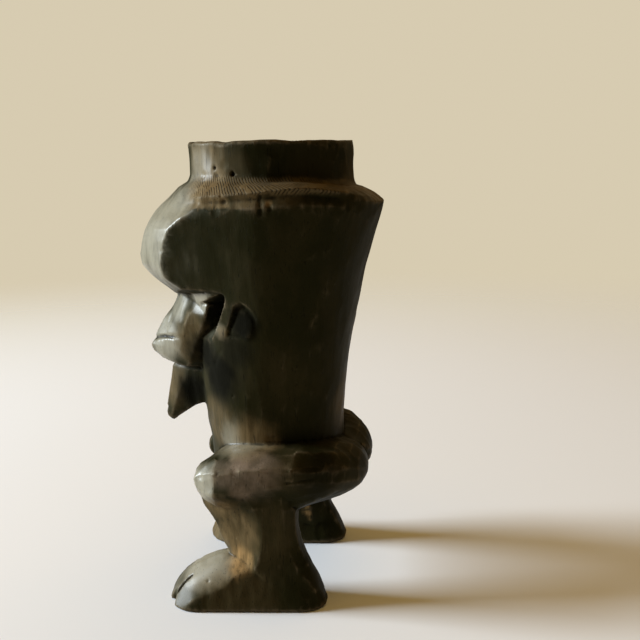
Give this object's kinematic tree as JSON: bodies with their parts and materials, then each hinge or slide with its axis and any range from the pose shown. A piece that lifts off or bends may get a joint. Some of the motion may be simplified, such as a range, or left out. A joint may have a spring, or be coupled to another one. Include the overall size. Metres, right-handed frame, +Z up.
{
  "type": "figural cup",
  "caption": "Carved drinking cup in the form of a stylised head with a heavy brow, pointed jaw and round collar rim, standing on two bent legs with fan-shaped feet.",
  "frame": {"origin": "centre of the footprint's bounding box, on the plane of the soles", "axes": "+Z up along the cup, -Y the way the face looks, +X the figure's left side"},
  "size_m": [0.1004, 0.1126, 0.2],
  "materials": {
    "dark_wood": "oiled and worn, soft sheen with lighter edges"
  },
  "bodies": {
    "root": {"figural_cup": "dark_wood"}
  },
  "joints": []
}
